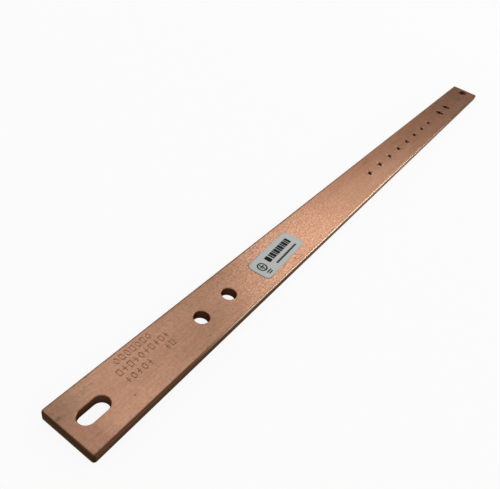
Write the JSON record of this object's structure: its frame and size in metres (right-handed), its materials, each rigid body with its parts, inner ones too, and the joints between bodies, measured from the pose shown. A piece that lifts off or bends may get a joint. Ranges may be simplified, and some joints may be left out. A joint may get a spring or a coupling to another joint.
{
  "type": "rack grounding busbar",
  "caption": "Flat copper bar that bolts across a rack by a slot at each end, with lug holes and a row of small tapped holes for grounding conductors.",
  "frame": {"origin": "centre of the bar's back face, the face that lies on the rack's rails", "axes": "+X along the bar towards the end with the row of tapped holes, +Y across it, +Z out of the front face that carries the lugs and the label"},
  "size_m": [0.4826, 0.024, 0.0049],
  "materials": {
    "copper": null,
    "label_film": "silver-grey polyester film with black print"
  },
  "bodies": {
    "root": {"busbar": "copper", "label": "label_film"}
  },
  "joints": []
}
